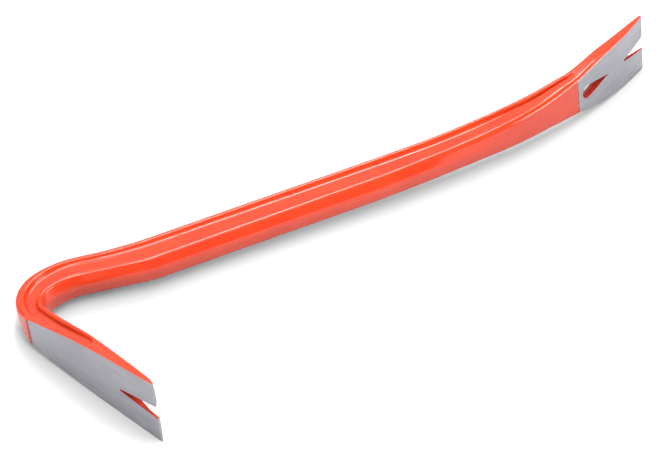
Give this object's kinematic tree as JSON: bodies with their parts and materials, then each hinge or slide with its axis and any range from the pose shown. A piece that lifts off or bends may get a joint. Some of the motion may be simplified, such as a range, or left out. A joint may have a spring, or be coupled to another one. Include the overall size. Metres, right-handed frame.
{
  "type": "pry bar",
  "caption": "Forged steel pry bar with a recessed shank, a hooked notched claw at one end and a straight notched claw with a nail hole at the other, painted with ground claw faces.",
  "frame": {"origin": "centre of the bounding box's bottom face, with the bar lying on its side: Z = 0 touches the lower corners of the hooked claw, and the bar is the same above and below its half height", "axes": "+X along the straight shank, from the hook to the straight claw; +Y towards the side that the straight claw kicks up to, away from the throat of the hook; +Z along the width of the claws"},
  "size_m": [0.4584, 0.1704, 0.049],
  "materials": {
    "bare_steel": "bare ground steel, satin, with fine lines along the claw",
    "paint": "glossy orange-red enamel"
  },
  "bodies": {
    "root": {"forged_bar": "bare_steel", "paint_coat": "paint"}
  },
  "joints": []
}
